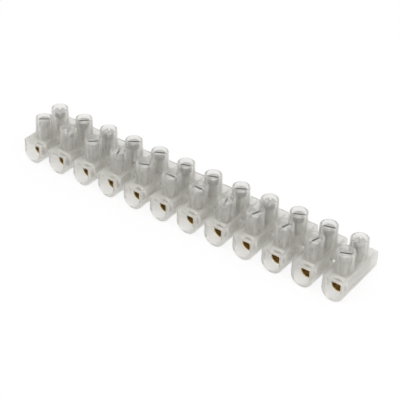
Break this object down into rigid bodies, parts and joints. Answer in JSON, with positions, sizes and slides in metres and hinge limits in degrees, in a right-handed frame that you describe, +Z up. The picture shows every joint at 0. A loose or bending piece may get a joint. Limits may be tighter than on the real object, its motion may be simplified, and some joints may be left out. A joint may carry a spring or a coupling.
{
  "type": "screw terminal strip",
  "caption": "Moulded strip of joined connector poles, each with a brass terminal and two slotted clamping screws in tubular turrets.",
  "frame": {"origin": "on the surface that the strip rests on, under the middle of the strip", "axes": "+X along the strip from pole 1 to pole 12, +Y from the front row of screws to the rear row, +Z up out of the turrets"},
  "size_m": [0.1172, 0.019, 0.0142],
  "materials": {
    "natural_plastic": "translucent natural polyethylene, satin",
    "brass": "bright drawn brass",
    "zinc_plated_steel": "zinc-plated steel"
  },
  "bodies": {
    "strip": {"housing": "natural_plastic", "terminal_01": "brass", "terminal_02": "brass", "terminal_03": "brass", "terminal_04": "brass", "terminal_05": "brass", "terminal_06": "brass", "terminal_07": "brass", "terminal_08": "brass", "terminal_09": "brass", "terminal_10": "brass", "terminal_11": "brass", "terminal_12": "brass"},
    "screw_front_01": {"screw_front_01": "zinc_plated_steel"},
    "screw_front_02": {"screw_front_02": "zinc_plated_steel"},
    "screw_front_03": {"screw_front_03": "zinc_plated_steel"},
    "screw_front_04": {"screw_front_04": "zinc_plated_steel"},
    "screw_front_05": {"screw_front_05": "zinc_plated_steel"},
    "screw_front_06": {"screw_front_06": "zinc_plated_steel"},
    "screw_front_07": {"screw_front_07": "zinc_plated_steel"},
    "screw_front_08": {"screw_front_08": "zinc_plated_steel"},
    "screw_front_09": {"screw_front_09": "zinc_plated_steel"},
    "screw_front_10": {"screw_front_10": "zinc_plated_steel"},
    "screw_front_11": {"screw_front_11": "zinc_plated_steel"},
    "screw_front_12": {"screw_front_12": "zinc_plated_steel"},
    "screw_rear_01": {"screw_rear_01": "zinc_plated_steel"},
    "screw_rear_02": {"screw_rear_02": "zinc_plated_steel"},
    "screw_rear_03": {"screw_rear_03": "zinc_plated_steel"},
    "screw_rear_04": {"screw_rear_04": "zinc_plated_steel"},
    "screw_rear_05": {"screw_rear_05": "zinc_plated_steel"},
    "screw_rear_06": {"screw_rear_06": "zinc_plated_steel"},
    "screw_rear_07": {"screw_rear_07": "zinc_plated_steel"},
    "screw_rear_08": {"screw_rear_08": "zinc_plated_steel"},
    "screw_rear_09": {"screw_rear_09": "zinc_plated_steel"},
    "screw_rear_10": {"screw_rear_10": "zinc_plated_steel"},
    "screw_rear_11": {"screw_rear_11": "zinc_plated_steel"},
    "screw_rear_12": {"screw_rear_12": "zinc_plated_steel"}
  },
  "joints": [
    {"name": "screw_front_01_travel", "type": "slide", "parent": "strip", "child": "screw_front_01", "axis": [0, 0, 1], "range_m": [-0.0039, 0.00055]},
    {"name": "screw_front_02_travel", "type": "slide", "parent": "strip", "child": "screw_front_02", "axis": [0, 0, 1], "range_m": [-0.00355, 0.0009]},
    {"name": "screw_front_03_travel", "type": "slide", "parent": "strip", "child": "screw_front_03", "axis": [0, 0, 1], "range_m": [-0.00365, 0.0008]},
    {"name": "screw_front_04_travel", "type": "slide", "parent": "strip", "child": "screw_front_04", "axis": [0, 0, 1], "range_m": [-0.00395, 0.0005]},
    {"name": "screw_front_05_travel", "type": "slide", "parent": "strip", "child": "screw_front_05", "axis": [0, 0, 1], "range_m": [-0.00355, 0.0009]},
    {"name": "screw_front_06_travel", "type": "slide", "parent": "strip", "child": "screw_front_06", "axis": [0, 0, 1], "range_m": [-0.0037, 0.00075]},
    {"name": "screw_front_07_travel", "type": "slide", "parent": "strip", "child": "screw_front_07", "axis": [0, 0, 1], "range_m": [-0.00365, 0.0008]},
    {"name": "screw_front_08_travel", "type": "slide", "parent": "strip", "child": "screw_front_08", "axis": [0, 0, 1], "range_m": [-0.00355, 0.0009]},
    {"name": "screw_front_09_travel", "type": "slide", "parent": "strip", "child": "screw_front_09", "axis": [0, 0, 1], "range_m": [-0.0036, 0.00085]},
    {"name": "screw_front_10_travel", "type": "slide", "parent": "strip", "child": "screw_front_10", "axis": [0, 0, 1], "range_m": [-0.00365, 0.0008]},
    {"name": "screw_front_11_travel", "type": "slide", "parent": "strip", "child": "screw_front_11", "axis": [0, 0, 1], "range_m": [-0.0036, 0.00085]},
    {"name": "screw_front_12_travel", "type": "slide", "parent": "strip", "child": "screw_front_12", "axis": [0, 0, 1], "range_m": [-0.0036, 0.00085]},
    {"name": "screw_rear_01_travel", "type": "slide", "parent": "strip", "child": "screw_rear_01", "axis": [0, 0, 1], "range_m": [-0.00365, 0.0008]},
    {"name": "screw_rear_02_travel", "type": "slide", "parent": "strip", "child": "screw_rear_02", "axis": [0, 0, 1], "range_m": [-0.0037, 0.00075]},
    {"name": "screw_rear_03_travel", "type": "slide", "parent": "strip", "child": "screw_rear_03", "axis": [0, 0, 1], "range_m": [-0.00365, 0.0008]},
    {"name": "screw_rear_04_travel", "type": "slide", "parent": "strip", "child": "screw_rear_04", "axis": [0, 0, 1], "range_m": [-0.00385, 0.0006]},
    {"name": "screw_rear_05_travel", "type": "slide", "parent": "strip", "child": "screw_rear_05", "axis": [0, 0, 1], "range_m": [-0.00395, 0.0005]},
    {"name": "screw_rear_06_travel", "type": "slide", "parent": "strip", "child": "screw_rear_06", "axis": [0, 0, 1], "range_m": [-0.00355, 0.0009]},
    {"name": "screw_rear_07_travel", "type": "slide", "parent": "strip", "child": "screw_rear_07", "axis": [0, 0, 1], "range_m": [-0.00365, 0.0008]},
    {"name": "screw_rear_08_travel", "type": "slide", "parent": "strip", "child": "screw_rear_08", "axis": [0, 0, 1], "range_m": [-0.0036, 0.00085]},
    {"name": "screw_rear_09_travel", "type": "slide", "parent": "strip", "child": "screw_rear_09", "axis": [0, 0, 1], "range_m": [-0.0037, 0.00075]},
    {"name": "screw_rear_10_travel", "type": "slide", "parent": "strip", "child": "screw_rear_10", "axis": [0, 0, 1], "range_m": [-0.00355, 0.0009]},
    {"name": "screw_rear_11_travel", "type": "slide", "parent": "strip", "child": "screw_rear_11", "axis": [0, 0, 1], "range_m": [-0.0037, 0.00075]},
    {"name": "screw_rear_12_travel", "type": "slide", "parent": "strip", "child": "screw_rear_12", "axis": [0, 0, 1], "range_m": [-0.00365, 0.0008]}
  ]
}
